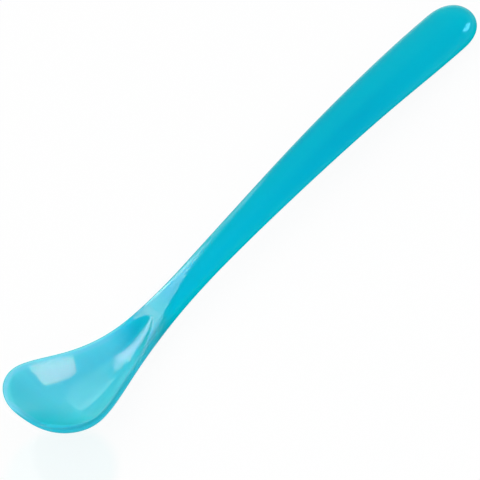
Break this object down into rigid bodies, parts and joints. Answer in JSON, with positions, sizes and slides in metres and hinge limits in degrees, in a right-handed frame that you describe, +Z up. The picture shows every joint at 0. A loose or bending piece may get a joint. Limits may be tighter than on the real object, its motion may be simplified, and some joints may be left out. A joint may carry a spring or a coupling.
{
  "type": "baby spoon",
  "caption": "Long-handled baby spoon in translucent turquoise plastic: a soft pear-shaped scoop moulded over the tongue of an arched handle that thickens to a round end.",
  "frame": {"origin": "on the table, under the middle of the spoon as it lies at rest", "axes": "+X from the bowl to the end of the handle, +Y across the spoon, +Z up, with the hollow facing up; the spoon is symmetric about the XZ plane"},
  "size_m": [0.165, 0.028, 0.0146],
  "materials": {
    "handle_plastic": "gloss",
    "bowl_plastic": "gloss"
  },
  "bodies": {
    "root": {"handle": "handle_plastic", "soft_bowl": "bowl_plastic"}
  },
  "joints": []
}
